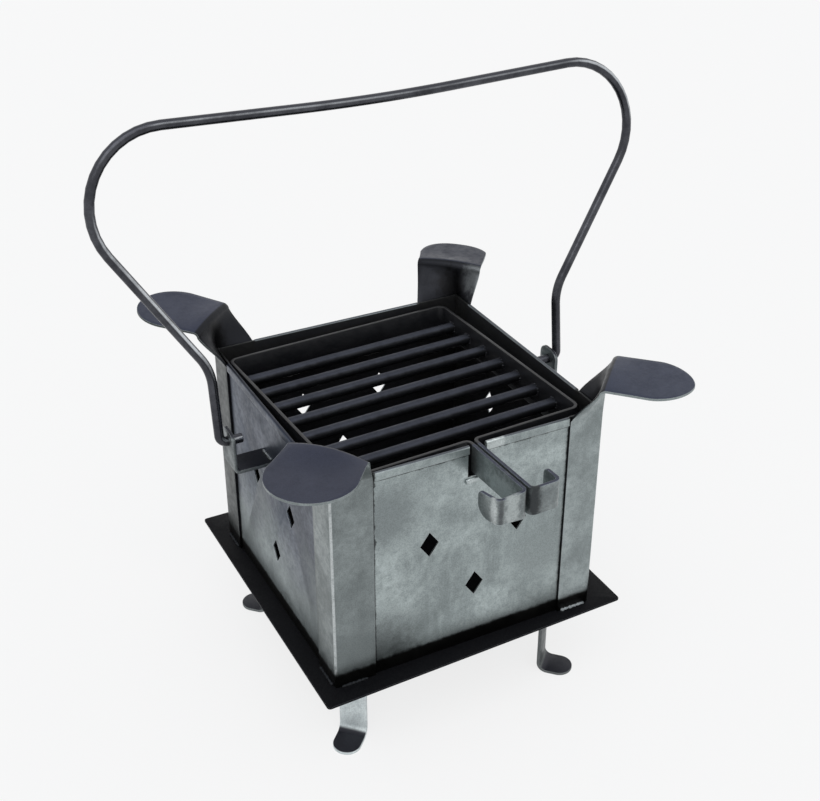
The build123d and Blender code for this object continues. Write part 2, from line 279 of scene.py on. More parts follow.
        ragged = work("ADD", part_of(objects)["Z"], span(mottle, 0.2, 0.8, -0.0009, 0.0009))
        colour = blend(span(ragged, height + depth, height), colour, tone)
    colour = blend(span(specks, 0.42, 0.62, 0.0, 0.22), colour, (0.02, 0.021, 0.022))
    links.new(colour, shader.inputs["Base Color"])
    shine = work("ADD", span(patches, 0.3, 0.7, rough + gloss_spread, rough),
                 span(mottle, 0.3, 0.7, 0.0, gloss_spread))
    links.new(shine, shader.inputs["Roughness"])
    height = work("ADD", work("MULTIPLY", mottle, 0.5), work("MULTIPLY", streaks, 0.35))
    height = work("ADD", height, work("MULTIPLY", specks, 0.12))
    bump = nodes.new("ShaderNodeBump")
    bump.inputs["Strength"].default_value = dents
    bump.inputs["Distance"].default_value = 0.0012
    links.new(height, bump.inputs["Height"])
    links.new(bump.outputs["Normal"], shader.inputs["Normal"])
    return material


tray_low, tray_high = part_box("base_tray")
tray_top = tray_high.z
stove_middle = (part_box("left_grate_ledge")[0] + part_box("right_grate_ledge")[1]) / 2
middle_y = stove_middle.y
centre = (0, middle_y, 0)
tray_skew = 0.008  # how far its front edge's right end stands back
tray_corner_cut = 0.003
tray_parts = 12  # it is cut into this many strips each way, so that its shading stays even

tray_black = steel("tray black", light=(0.0070, 0.0072, 0.0085), dull=(0.0035, 0.0036, 0.0044),
                   top=(0.0042, 0.0043, 0.0054), rough=0.34, patch=34.0, edge=(0.085, 0.09, 0.10),
                   edge_size=0.0006, metal=0.0, dents=0.16, sheen=0.06)
# A painted reflection of the black tray, as a dark band low on the walls and posts
painted_tray_reflection = (tray_top + 0.0115, 0.004, (0.0085, 0.0082, 0.0075))  # up to where, over what height, tone
# The near black of the faces inside the fire box
inner_dark = (0.0120, 0.0125, 0.0145)

bpy.ops.object.select_all(action="DESELECT")
tray_size = tray_high - tray_low
bpy.ops.mesh.primitive_cube_add(size=1, location=(tray_low + tray_high) / 2, scale=tray_size)
tray = bpy.context.active_object
bpy.ops.object.transform_apply(location=True, rotation=True, scale=True)
set_down("tray")
pick(tray, "VERT", lambda v: v.co.y < middle_y and v.co.x > 0)
bpy.ops.transform.translate(value=(0, tray_skew, 0))
pick(tray, "EDGE", lambda e: abs(run_of(e).z) > 0.9)
bpy.ops.mesh.bevel(offset=tray_corner_cut, offset_type="OFFSET", segments=3, affect="EDGES")
for across in ((1, 0, 0), (0, 1, 0)):
    for cut in range(1, tray_parts):
        bpy.ops.mesh.select_all(action="SELECT")
        bpy.ops.mesh.bisect(plane_co=tray_low + tray_size * (cut / tray_parts), plane_no=across)
soften(tray, 0.0004, 2)
fit(tray, tray_black, "stove_body", "tray_sheet", "base_tray")


# ----------------------------------------
# The four feet: short flat strips welded under the tray's corners. Each runs
# straight down and is bent outwards at the ground into a small round pad.
# ----------------------------------------
def carry(vector):
    bpy.ops.mesh.extrude_region_move(TRANSFORM_OT_translate={"value": vector})


def toned(share, colour):
    return tuple(c * share for c in colour)


def start_strip(name, place, turn, size):
    """Lays down the cut end of a strip, ready to be carried along its line."""
    bpy.ops.object.select_all(action="DESELECT")
    bpy.ops.mesh.primitive_plane_add(size=1, location=place, rotation=turn)
    bpy.ops.object.transform_apply(location=True, rotation=True, scale=True)
    piece = set_down(name)
    bpy.ops.mesh.select_mode(type="FACE")
    bpy.ops.mesh.select_all(action="SELECT")
    bpy.ops.transform.resize(value=size, center_override=place)
    return piece


def finish_strip():
    bpy.ops.mesh.select_all(action="SELECT")
    bpy.ops.mesh.normals_make_consistent(inside=False)
    bpy.ops.object.mode_set(mode="OBJECT")


def bend_along(points, radii, normal, steps=8):
    """Carries the picked end of a strip along a line with round bends, all about the same normal."""
    points = [Vector(p) for p in points]
    place = points[0].copy()
    for i in range(1, len(points)):
        ahead = (points[i] - points[i - 1]).normalized()
        if i == len(points) - 1:
            carry(points[i] - place)
            return
        onward = (points[i + 1] - points[i]).normalized()
        angle = ahead.angle(onward)
        side = 1.0 if ahead.cross(onward).dot(normal) > 0 else -1.0
        back = radii[i - 1] * math.tan(angle / 2)
        start = points[i] - ahead * back
        carry(start - place)
        bpy.ops.mesh.spin(steps=steps, dupli=False, angle=-side * angle, use_auto_merge=False,
                          center=start + side * radii[i - 1] * normal.cross(ahead), axis=normal)
        place = points[i] + onward * back


# How light each foot's steel is painted: one steel, lighter or darker for how the light falls on each foot
foot_light_and_shade = {"front_left": 1.0, "front_right": 0.18, "back_right": 0.28, "back_left": 0.28}
foot_width = 0.025
foot_thick = 0.003
foot_bend = 0.0085
foot_setback = 0.038  # along the diagonal, from the post's corner in to the strip
pad_reach = 0.028
pad_rounding = 0.0122
corner_turn = {"front_left": -135, "front_right": -45, "back_right": 45, "back_left": 135}
body_half = 0.125  # from the stove's middle to its posts' outer faces
post_corner = body_half * math.sqrt(2)
strip_x = post_corner - foot_setback - foot_thick / 2
reach = strip_x + foot_thick / 2 + pad_reach
for side, turn in corner_turn.items():
    start = (strip_x, 0, tray_low.z)
    foot = start_strip("foot_strip_" + side, start, (0, 0, 0), (foot_thick, foot_width, 1))
    bend_along([start, (strip_x, 0, foot_thick / 2), (reach, 0, foot_thick / 2)], [foot_bend], Vector((0, 1, 0)))
    pick(foot, "EDGE", lambda e: middle(e).x > reach - 0.0005 and abs(run_of(e).z) > 0.9)
    bpy.ops.mesh.bevel(offset=pad_rounding, offset_type="OFFSET", segments=12, affect="EDGES")
    finish_strip()
    foot.data.transform(Matrix.Translation(centre) @ Matrix.Rotation(math.radians(turn), 4, "Z"))
    soften(foot, 0.0005, 2)
    tone = foot_light_and_shade[side]
    foot_steel = steel("foot steel " + side, light=toned(tone, (0.86, 0.93, 0.93)),
                       dull=toned(tone, (0.58, 0.64, 0.65)), top=(0.017, 0.018, 0.026), rough=0.36,
                       patch=40.0, grain=(80, 80, 10), edge=toned(tone, (0.42, 0.45, 0.46)), metal=0.35)
    fit(foot, foot_steel, "stove_body", "foot_strip", "foot_" + side)


# ----------------------------------------
# The four walls: 1.5 mm sheet, standing on the tray. Each top edge is folded
# down over the outside as a hem between the posts, and each wall is punched
# with three diamond air holes. The front one has a slot for the grate's handle.
# ----------------------------------------
wall_face = 0.123  # from the stove's middle to the walls' outer faces
wall_sheet = 0.0015
wall_height = 0.201
hem_drop = 0.0075
hem_stand = 0.0019
hem_gap = 0.0004  # air left inside the fold
hem_clear = 0.001  # between a hem's end and the post beside it
post_leg = 0.035  # how far a post reaches over the wall, where its fold is central
air_hole_half = (0.0085, 0.012)
slot_middle, slot_width, slot_drop = 0.005, 0.0155, 0.030
fold_shift = {"front_left": 0.002, "front_right": 0.002, "back_right": 0.0085, "back_left": -0.003}

# Each wall: which way it faces, its length, the posts at its ends, and its air holes, each given
# by how far it is to the right of the wall's middle and how far below the rim
wall_plan = {
    "front": (0, 0.246, "front_left", "front_right", ((-0.037, 0.085), (0.046, 0.0855), (0.006, 0.139))),
    "right": (90, 0.243, "front_right", "back_right", ((-0.038, 0.085), (0.052, 0.085), (0.007, 0.138))),
    "back": (180, 0.246, "back_right", "back_left", ((-0.038, 0.077), (0.042, 0.0795), (0.002, 0.137))),
    "left": (270, 0.243, "back_left", "front_left", ((-0.038, 0.083), (0.038, 0.083), (0, 0.143))),
}

# Marks on the front wall, each with its centre, size, tone and stretch: three darker clouded places, and painted
# highlights on the slot's lip and on the hem beside the slot
on_wall, on_hem = middle_y - wall_face, middle_y - body_half
front_marks_and_highlights = (((-0.088, on_wall, tray_top + 0.02), 0.055, (0.20, 0.228, 0.230)),
               ((-0.075, on_wall, tray_top + 0.155), 0.040, (0.235, 0.268, 0.272)),
               ((0.068, on_wall, tray_top + 0.075), 0.036, (0.285, 0.325, 0.327)),
               # painted highlight on the lip under the slot
               ((0.000, on_hem, tray_top + 0.1685), 0.0065, (0.52, 0.57, 0.57)),
               # painted highlight on the hem beside the slot
               ((0.020, on_hem, tray_top + 0.1965), 0.0110, (0.56, 0.61, 0.61), (0.8, 1, 1.4)))
# Each wall's tones. The walls are one steel, painted lighter or darker side by side for how the light falls on
# each, and the left wall has a painted bluish reflection that comes in towards its top.
wall_tones_and_painted_light = {
    "front": dict(light=(0.47, 0.532, 0.532), dull=(0.262, 0.300, 0.303), spots=front_marks_and_highlights),
    "right": dict(light=(0.40, 0.45, 0.46), dull=(0.23, 0.262, 0.27)),
    "back": dict(light=(0.40, 0.45, 0.46), dull=(0.23, 0.262, 0.27)),
    "left": dict(light=(0.41, 0.463, 0.468), dull=(0.215, 0.245, 0.252),
                 painted_reflection_fade=(tray_top + 0.030, tray_top + 0.125, (0.215, 0.232, 0.315))),
}


def heart(face):
    return face.calc_center_median()


def split_at(*planes):
    """Splits the open piece along each plane, given by a point and a normal."""
    for point, normal in planes:
        bpy.ops.mesh.select_all(action="SELECT")
        bpy.ops.mesh.bisect(plane_co=point, plane_no=normal)


def cut_out(piece, cutter):
    """Cuts the cutter's shape out of a piece and clears the cutter away."""
    bpy.ops.object.select_all(action="DESELECT")
    piece.select_set(True)
    bpy.context.view_layer.objects.active = piece
    cut = piece.modifiers.new("cut", "BOOLEAN")
    cut.operation = "DIFFERENCE"
    cut.solver = "EXACT"
    cut.object = cutter
    bpy.ops.object.modifier_apply(modifier=cut.name)
    bpy.data.objects.remove(cutter)


for side, (turn, length, low_post, high_post, holes) in wall_plan.items():
    bpy.ops.object.select_all(action="DESELECT")
    bpy.ops.mesh.primitive_cube_add(size=1, location=(0, wall_sheet / 2, wall_height / 2),
                                    scale=(length, wall_sheet, wall_height))
    wall = bpy.context.active_object
    bpy.ops.object.transform_apply(location=True, rotation=True, scale=True)
    set_down("wall_" + side)
    hem_from = -body_half + post_leg + hem_clear + fold_shift[low_post]
    hem_to = body_half - post_leg - hem_clear + fold_shift[high_post]
    hem_low = wall_height - hem_drop
    split_at(((hem_from, 0, 0), (1, 0, 0)), ((hem_to, 0, 0), (1, 0, 0)), ((0, 0, hem_low), (0, 0, 1)))
    pick(wall, "FACE", lambda f: f.normal.y < -0.9 and heart(f).z > hem_low and hem_from < heart(f).x < hem_to)
    carry((0, -hem_stand, 0))
    split_at(((0, -hem_gap, 0), (0, 1, 0)), ((0, 0, wall_height - wall_sheet), (0, 0, 1)))
    pick(wall, "FACE", lambda f: f.normal.z < -0.9 and -hem_gap < heart(f).y < 0
         and abs(heart(f).z - hem_low) < 0.0002)
    carry((0, 0, hem_drop - wall_sheet))
    pick(wall, "FACE", lambda f: abs(f.normal.x) > 0.9 and -hem_gap < heart(f).y < 0
         and heart(f).z < wall_height - wall_sheet)
    bpy.ops.mesh.delete(type="FACE")
    bpy.ops.mesh.select_all(action="SELECT")
    bpy.ops.mesh.remove_doubles(threshold=0.00001)
    pick(wall, "EDGE", lambda e: abs(run_of(e).x) > 0.9 and middle(e).z > wall_height - 0.0001
         and hem_from < middle(e).x < hem_to
         and (middle(e).y < 0.0001 - hem_stand or middle(e).y > wall_sheet - 0.0001))
    bpy.ops.mesh.bevel(offset=wall_sheet, offset_type="OFFSET", segments=4, affect="EDGES")
    bpy.ops.object.mode_set(mode="OBJECT")
    for across, drop in holes:
        bpy.ops.mesh.primitive_cylinder_add(vertices=4, radius=1, depth=1,
                                            location=(across, 0, wall_height - drop),
                                            rotation=(math.radians(90), 0, 0), scale=(*air_hole_half, 0.02))
        cut_out(wall, bpy.context.active_object)
    if side == "front":  # the slot, and the lip that was folded out under it and hammered flat
        above = 0.002
        bpy.ops.mesh.primitive_cube_add(size=1, location=(slot_middle, 0, wall_height + (above - slot_drop) / 2),
                                        scale=(slot_width, 0.02, above + slot_drop))
        cut_out(wall, bpy.context.active_object)
        lip_middle = Vector((0.0040, -0.0009, wall_height - 0.0330))
        lip_size = (0.0178, 0.0018, 0.0040)
        bpy.ops.object.mode_set(mode="EDIT")
        bpy.ops.mesh.primitive_cube_add(size=1, location=lip_middle, scale=lip_size,
                                        rotation=(0, math.radians(-4), 0))
        pick(wall, "EDGE", lambda e: middle(e).y < -0.0015 and abs(run_of(e).x) > 0.9
             and 0 < middle(e).z - lip_middle.z < lip_size[2])
        bpy.ops.mesh.bevel(offset=0.0012, offset_type="OFFSET", segments=4, affect="EDGES")
        bpy.ops.object.mode_set(mode="OBJECT")
    wall.data.transform(Matrix.Translation(centre) @ Matrix.Rotation(math.radians(turn), 4, "Z")
                        @ Matrix.Translation((0, -wall_face, tray_top)))
    soften(wall, 0.0003, 2)
    # where the wall's painted seam shade lies: beside the posts, and under the hem
    painted_seam_shade = centre, turn, hem_from - hem_clear, hem_to + hem_clear, tray_top + hem_low, wall_face
    wall_steel = steel("wall steel " + side, top=(0.10, 0.11, 0.125), rough=0.30, patch=17.0,
                       grain=(22.0, 22.0, 4.0), edge=(0.42, 0.45, 0.45), painted_seam_shade=painted_seam_shade, low=painted_tray_reflection,
                       inside=(centre, wall_face - wall_sheet + 0.0002, inner_dark), **wall_tones_and_painted_light[side])
    fit(wall, wall_steel, "stove_body", "wall_sheet", side + "_panel")


# ----------------------------------------
# The four corner posts: 2 mm strip folded to an angle round the corners of the
# fire box. Above the rim the fold is opened flat again and the strip is bent
# outwards into a round-ended tongue that carries a pot. No two are quite alike.
# ----------------------------------------
post_sheet = 0.002
neck_half = 0.031
bend_inner = 0.004
rim = tray_top + wall_height
post_plan = {
    "front_left": dict(rise=0.0325, reach=0.070, width=0.071, arch=(0.0045, -0.0025)),
    "front_right": dict(rise=0.033, reach=0.070, width=0.0635, lean=-0.001, blunt=(1.75, 1.75)),
    "back_right": dict(rise=0.030, reach=0.0548, width=0.068, droop=4.0, lean=0.0065, blunt=(2.2, 2.5),
                       trim=0.0303),
    "back_left": dict(rise=0.029, reach=0.070, width=0.067, droop=-6.0),
}
# How light each post's steel is painted: one steel, lighter or darker for how the light falls on each post
post_light_and_shade = {"front_left": 1.0, "front_right": 1.35, "back_right": 1.0, "back_left": 0.28}
# The painted shading of each tongue's upward face: a bluish dark for the light it reflects, different on each
# post
tongue_top_shading = {"front_left": (0.041, 0.046, 0.070), "front_right": (0.044, 0.052, 0.082),
               "back_right": (0.016, 0.020, 0.037), "back_left": (0.033, 0.039, 0.066)}

# The near post's outside: a darker place low down, and a painted highlight along its fold, where the rounded bend
# catches the light
near_post_marks_and_highlight = dict(spots=(((-0.1010, on_hem, tray_top + 0.022), 0.026, (0.165, 0.188, 0.190), (1, 1, 0.5)),),
                  fold=(centre, 0.1232, tray_top + 0.013, rim + 0.012, (0.53, 0.565, 0.57)))

# The sides that face the fire: a paler place, a darker one, and painted shade in the valley where a fold is
# opened flat
fold_valley_shade = (0.0065, 0.0065, 0.0075)
inner_marks_and_shade = {
    "back_right": (((0.1390, middle_y + 0.1090, rim + 0.018), 0.020, (0.085, 0.092, 0.098), (1, 1, 0.7)),
                   ((0.1040, middle_y + 0.1460, rim + 0.004), 0.024, (0.009, 0.0095, 0.012), (1, 1, 0.9)),
                   ((0.1190, middle_y + 0.1290, rim + 0.006), 0.020, fold_valley_shade, (1, 1, 0.75))),
    "back_left": (((-0.1235, middle_y + 0.1235, rim + 0.010), 0.017, fold_valley_shade, (1, 1, 0.75)),),
}

# Where the strip's outer face gets its points, from one edge through the fold to the other
across_steps = (-1, -0.86, -0.6, -0.36, -0.2, -0.11, -0.06, -0.025, 0, 0.025, 0.06, 0.11, 0.2, 0.36, 0.6, 0.86, 1)


def post_rows(rise, reach, width, shift, droop=0.0, lean=0.0, blunt=(2.0, 2.0), arch=(0.002, 0.0), trim=1.0):
    """The strip's outer face, row by row from its foot to the tongue's tip, in the post's own place.

    rise is how far the tongue's top stands above the rim, and reach and width are the tongue's.
    The fold runs shift to one side of the strip's middle, and the tongue hangs droop degrees.
    lean carries the tip sideways, blunt fills out the two rounded quarters, arch crowns and
    tilts the line of the bend, and trim is the most that one side of the tongue has left.
    """
    opening = rim - 0.004
    bend_start = rim + rise - post_sheet - bend_inner
    turn = math.radians(90 + droop)

    def arched(share):
        return arch[0] * (1 - share * share) + arch[1] * share

    def folded(height, opened):
        row = []
        for share in across_steps:
            way = 1 if share > 0 else -1
            far = abs(share)
            leg = (post_leg + way * shift) / math.sqrt(2)
            side = leg + (neck_half + way * shift - leg) * opened
            out = -leg * (1 - opened) * math.sqrt(far * far + 0.0034)
            row.append((out, way * side * far, height + arched(share) * opened ** 2))
        return row

    def flat_row(halves, out, height, sway=0.0, stay=1.0):
        return [(out, shift + sway + halves[share < 0] * share, height + arched(share) * stay)
                for share in across_steps]

    rows = [folded(tray_top + (opening - tray_top) * step / 8, 0.0) for step in range(9)]
    for step in range(1, 13):
        share = step / 12
        eased = share * share * (3 - 2 * share)
        rows.append(folded(opening + (bend_start - opening) * share, eased * 0.35 + share * 0.65))
    for step in range(1, 9):
        angle = turn * step / 8
        rows.append(flat_row((neck_half, neck_half), bend_inner * (1 - math.cos(angle)),
                             bend_start + bend_inner * math.sin(angle)))
    foot_out = bend_inner * (1 - math.cos(turn))
    foot_high = bend_start + bend_inner * math.sin(turn)
    length = reach - bend_inner
    straight = length - width / 2
    widening = width / 2 - neck_half
    along = [(straight * step / 5, [neck_half + widening * step / 5] * 2) for step in range(1, 6)]
    for step in range(1, 17):
        angle = math.radians(90) * step / 16.35  # it stops a little short, so that the tip isn't a point
        share = math.sin(angle)
        along.append((straight + width / 2 * share,
                      [width / 2 * (1 - share ** power) ** (1 / power) for power in blunt]))
    for far, halves in along:
        share = far / length
        rows.append(flat_row((halves[0], min(halves[1], trim)), foot_out + far * math.sin(turn),
                             foot_high + far * math.cos(turn), lean * share ** 1.5, max(0.0, 1 - 2 * share) ** 2))
    return rows


for side, plan in post_plan.items():
    rows = post_rows(shift=fold_shift[side], **plan)
    bpy.ops.object.select_all(action="DESELECT")
    bpy.ops.mesh.primitive_grid_add(x_subdivisions=len(across_steps) - 1, y_subdivisions=len(rows) - 1, size=2)
    post = bpy.context.active_object
    post.name = "post_" + side
    post.data.name = post.name
    for vertex in post.data.vertices:
        column = round((vertex.co.x + 1) / 2 * (len(across_steps) - 1))
        row = round((vertex.co.y + 1) / 2 * (len(rows) - 1))
        vertex.co = rows[row][column]
    post.data.update()
    if post.data.polygons[0].normal.x < 0:
        post.data.flip_normals()
    skin = post.modifiers.new("sheet", "SOLIDIFY")
    skin.thickness = post_sheet
    skin.offset = -1
    skin.use_even_offset = True
    bpy.ops.object.modifier_apply(modifier=skin.name)
    post.data.transform(Matrix.Translation(centre) @ Matrix.Rotation(math.radians(corner_turn[side]), 4, "Z")
                        @ Matrix.Translation((post_corner, 0, 0)))
    soften(post, 0.0004, 2, 50)
    tone = post_light_and_shade[side]
    post_steel = steel("post steel " + side, light=toned(tone, (0.27, 0.305, 0.307)),
                       dull=toned(tone, (0.165, 0.188, 0.19)), top=tongue_top_shading[side],
                       rough=0.27, patch=24.0, grain=(16.0, 16.0, 3.0), edge=(0.33, 0.36, 0.37),
                       inside=(centre, wall_face - wall_sheet, inner_dark),
                       inward=(centre, (0.016, 0.017, 0.021), inner_marks_and_shade.get(side, ())),
                       low=painted_tray_reflection, **(near_post_marks_and_highlight if side == "front_left" else {}))
    fit(post, post_steel, "stove_body", "post_sheet", "corner_post_" + side)


# ----------------------------------------
# The two ears: bent strips on the middles of the side walls, standing up
# outside them, each with a rounded top and a hole for the bail's end.
# ----------------------------------------
ear_steel = steel("ear steel", light=(0.24, 0.265, 0.27), dull=(0.11, 0.125, 0.13), top=(0.030, 0.032, 0.040),
                  rough=0.32, patch=60.0, edge=(0.33, 0.35, 0.36))

ear_width = 0.025
ear_thick = 0.003
ear_line = 0.156  # from the stove's middle to the middle of an ear's standing leg
ear_drop = 0.025  # from the hole down to the middle of its foot
ear_top = 0.0105
ear_bend = 0.004
ear_rounding = 0.008
ear_hole_half = 0.00408
hinge = next(joint for joint in frame["record"]["behaviour"]["joints"] if joint["name"] == "bail_swing")
pivot = Vector(hinge["pos_m"])
for side, way in (("left", -1), ("right", 1)):
    start = (way * wall_face, pivot.y, pivot.z - ear_drop)
    turned_up = (way * ear_line, pivot.y, pivot.z - ear_drop), (way * ear_line, pivot.y, pivot.z + ear_top)
    ear = start_strip("ear_strip_" + side, start, (0, math.radians(90), 0), (1, ear_width, ear_thick))
    bend_along([start, *turned_up], [ear_bend], Vector((0, -1, 0)), 6)
    pick(ear, "EDGE", lambda e: middle(e).z > pivot.z + ear_top - 0.0005 and abs(run_of(e).x) > 0.9)
    bpy.ops.mesh.bevel(offset=ear_rounding, offset_type="OFFSET", segments=7, affect="EDGES")
    finish_strip()
    bpy.ops.mesh.primitive_cylinder_add(vertices=40, radius=ear_hole_half, depth=0.02,
                                        location=(way * ear_line, pivot.y, pivot.z),
                                        rotation=(0, math.radians(90), 0))
    cut_out(ear, bpy.context.active_object)
    soften(ear, 0.0004, 2)
    fit(ear, ear_steel, "stove_body", "ear_strip", side + "_ear")


# ----------------------------------------
# The bail: one length of 8 mm round rod, bent by hand. Its legs rise from the
# ears, splay out to two wide shoulders and meet in a top bar that sags a little.
# Its two turned-in ends pass through the ears' holes.
# ----------------------------------------
# The bail's bright streak is a painted highlight, along the side of the rod that faces up and to the front
bail_steel = steel("bail steel", light=(0.085, 0.088, 0.100), dull=(0.036, 0.037, 0.044),
                   top=(0.055, 0.057, 0.068), rough=0.16, patch=30.0, grain=(30, 30, 30), gloss_spread=0.10,
                   highlight_streak=(Vector((0.35, -0.80, 0.49)).normalized(), 0.90, 0.985, (0.58, 0.61, 0.64)))

rod_half = 0.004
rod_end = ear_line - ear_thick / 2 - 0.010  # the rod's ends stand 10 mm in past the ears
waist = 0.164
waist_high = 0.065
bail_high = 0.268
bail_sag = 0.010
bail_splay = 32
bail_lean = 7
end_bend, waist_bend, shoulder_bend, sag_bend = 0.0065, 0.048, 0.060, 2.0
shoulder = waist + math.tan(math.radians(bail_splay)) * (bail_high - waist_high)
bpy.ops.object.select_all(action="DESELECT")
bpy.ops.mesh.primitive_circle_add(vertices=28, radius=rod_half, fill_type="NGON", location=(-rod_end, 0, 0),
                                  rotation=(0, math.radians(90), 0))
bail = bpy.context.active_object
bpy.ops.object.transform_apply(location=True, rotation=True, scale=True)
set_down("bail_rod")
bpy.ops.mesh.select_mode(type="FACE")
bpy.ops.mesh.select_all(action="SELECT")
bail_line = [(-rod_end, 0, 0), (-waist, 0, 0), (-waist, 0, waist_high), (-shoulder, 0, bail_high),
             (0, 0, bail_high - bail_sag), (shoulder, 0, bail_high), (waist, 0, waist_high), (waist, 0, 0),
             (rod_end, 0, 0)]
bail_bends = [end_bend, waist_bend, shoulder_bend, sag_bend, shoulder_bend, waist_bend, end_bend]
bend_along(bail_line, bail_bends, Vector((0, 1, 0)), 14)
pick(bail, "FACE", lambda f: len(f.verts) > 6)
bpy.ops.mesh.region_to_loop()
bpy.ops.mesh.bevel(offset=0.0008, offset_type="OFFSET", segments=2, affect="EDGES")
finish_strip()
bail.data.transform(Matrix.Translation(pivot) @ Matrix.Rotation(math.radians(-bail_lean), 4, "X"))
bpy.ops.object.shade_smooth_by_angle(angle=math.radians(40))
fit(bail, bail_steel, "bail", "bail_rod", "bail_handle")


# ----------------------------------------
# The two ledges: angle strips welded inside the side walls, which the grate
# stands on. They sit in the fire and are near black all over.
# ----------------------------------------
ledge_steel = steel("ledge steel", light=(0.030, 0.032, 0.034), dull=(0.012, 0.012, 0.013),
                    top=(0.012, 0.013, 0.015), rough=0.42, patch=50.0, edge=(0.10, 0.105, 0.11), metal=0.6)

ledge_sheet = 0.0025
ledge_bend = 0.0018
for side, way in (("left", -1), ("right", 1)):
    ledge_low, ledge_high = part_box(side + "_grate_ledge")
    inner = ledge_high.x if way < 0 else ledge_low.x
    outer = (ledge_low.x if way < 0 else ledge_high.x) - way * ledge_sheet / 2
    level = ledge_high.z - ledge_sheet / 2
    start = (inner, middle_y, level)
    ledge = start_strip("ledge_strip_" + side, start, (0, math.radians(90), 0),
                        (1, ledge_high.y - ledge_low.y, ledge_sheet))
    turned_down = (outer, middle_y, level), (outer, middle_y, ledge_low.z)
    bend_along([start, *turned_down], [ledge_bend], Vector((0, 1, 0)), 4)
    finish_strip()
    soften(ledge, 0.0003, 2)
    fit(ledge, ledge_steel, "stove_body", "ledge_angle", side + "_grate_ledge")


# ----------------------------------------
# The grate's frame: one flat bar on edge, bent round to a square. Its two ends
# leave the middle of the front side by side and turn back as a pair of hooks,
# which are the handle for lifting the grate out.
# ----------------------------------------
# The handle's marks: it is paler than the square, with painted highlights on the left hook and at its bend,
# painted shade beside that bend, and a painted shadow on the right hook beside the seam
handle_tones_and_painted_light = (((0.0000, middle_y - 0.1650, 0.2640), 0.0300, (0.36, 0.40, 0.405), (1, 1, 1.6)),
                # painted highlight on the left hook, beside the seam
                ((-0.0060, middle_y - 0.1955, 0.2690), 0.0090, (0.40, 0.44, 0.44), (1, 1, 0.3)),
                # painted highlight on the left hook's bend
                ((-0.0205, middle_y - 0.1915, 0.2690), 0.0042, (0.52, 0.56, 0.56), (1, 1, 0.12)),
                # painted shade beside that bend
                ((-0.0162, middle_y - 0.1965, 0.2690), 0.0034, (0.10, 0.11, 0.115), (1, 1, 0.12)),
                # painted shadow on the right hook, beside the seam
                ((0.0140, middle_y - 0.1955, 0.2690), 0.0090, (0.045, 0.050, 0.053), (1, 1, 0.25)))
strip_steel = steel("strip steel", light=(0.30, 0.335, 0.335), dull=(0.15, 0.170, 0.175),
                    top=(0.050, 0.056, 0.080), rough=0.28, patch=46.0, grain=(8, 8, 30),
                    edge=(0.28, 0.31, 0.37), dents=0.2,
                    inside=(centre, 0.1190, (0.0055, 0.0058, 0.0075)), spots=handle_tones_and_painted_light)

strip_thick = 0.003
strip_low, strip_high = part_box("grate_frame")
strip_level = (strip_low.z + strip_high.z) / 2
strip_face = 0.1115
handle_middle = 0.004
handle_reach = 0.0815  # from the front of the square to the front of the hooks
handle_seam = 0.002
left_hook_width, right_hook_width = 0.0290, 0.0295
hook_return = 0.021
hook_bend, corner_bend = 0.0045, 0.007
splay = 0.0045  # how far the left hook's end stands out past its bend
side_line = strip_face - strip_thick / 2
front_line = strip_thick / 2 - strip_face - handle_reach
apart = (handle_seam + strip_thick) / 2
left_line = handle_middle - left_hook_width + strip_thick / 2
right_line = handle_middle + right_hook_width - strip_thick / 2
hook_tip = front_line - strip_thick / 2 + hook_return
grate_spin = Matrix.Rotation(math.radians(2.6), 4, "Z")  # the grate lies in the box a little askew
grate_seat = Matrix.Translation((-0.0029, middle_y - 0.002, 0)) @ grate_spin
strip_line = [(left_line - splay, hook_tip), (left_line, front_line), (handle_middle - apart, front_line),
              (handle_middle - apart, -side_line), (-side_line, -side_line), (-side_line, side_line),
              (side_line, side_line), (side_line, -side_line), (handle_middle + apart, -side_line),
              (handle_middle + apart, front_line), (right_line, front_line), (right_line, hook_tip)]
strip_line = [(x, y, strip_level) for x, y in strip_line]
strip = start_strip("grate_strip", strip_line[0], (math.radians(90), 0, 0),
                    (strip_thick, 1, strip_high.z - strip_low.z))
bpy.ops.transform.rotate(value=-math.atan2(splay, hook_return - strip_thick / 2), orient_axis="Z",
                         center_override=strip_line[0])
bend_along(strip_line, [hook_bend] * 3 + [corner_bend] * 4 + [hook_bend] * 3, Vector((0, 0, 1)))
for x_line, level, size in ((left_line - splay, -1, 0.0115), (left_line - splay, 1, 0.0035),
                            (right_line, -1, 0.006), (right_line, 1, 0.005)):
    pick(strip, "EDGE", lambda e: abs(middle(e).y - hook_tip) < 0.0008 and abs(run_of(e).x) > 0.9
         and abs(middle(e).x - x_line) < 0.001 and (middle(e).z - strip_level) * level > 0)
    bpy.ops.mesh.bevel(offset=size, offset_type="OFFSET", segments=6, affect="EDGES")
finish_strip()
narrowing = handle_middle - 0.006
for vertex in strip.data.vertices:  # the left hook was trimmed narrower towards its end
    if vertex.co.y < hook_tip + 0.004 and vertex.co.x < narrowing:
        share = min(1.0, (narrowing - vertex.co.x) / 0.018)
        vertex.co.z += (-0.0011 if vertex.co.z > strip_level else 0.0016) * share
strip.data.transform(grate_seat)
soften(strip, 0.0005, 2)
fit(strip, strip_steel, "grate", "grate_strip", "grate_frame")


# ----------------------------------------
# The grate's seven bars: 10 mm round rod, cut to fit across the square and
# welded to its inner faces. The fire has darkened them to a bluish black.
# ----------------------------------------
# Their top tone is lighter than the rest: a painted highlight along the tops of the bars
bar_steel = steel("bar steel", light=(0.030, 0.032, 0.037), dull=(0.011, 0.0115, 0.014),
                  top=(0.040, 0.044, 0.058), rough=0.32, patch=70.0, grain=(4, 60, 60), gloss_spread=0.16)

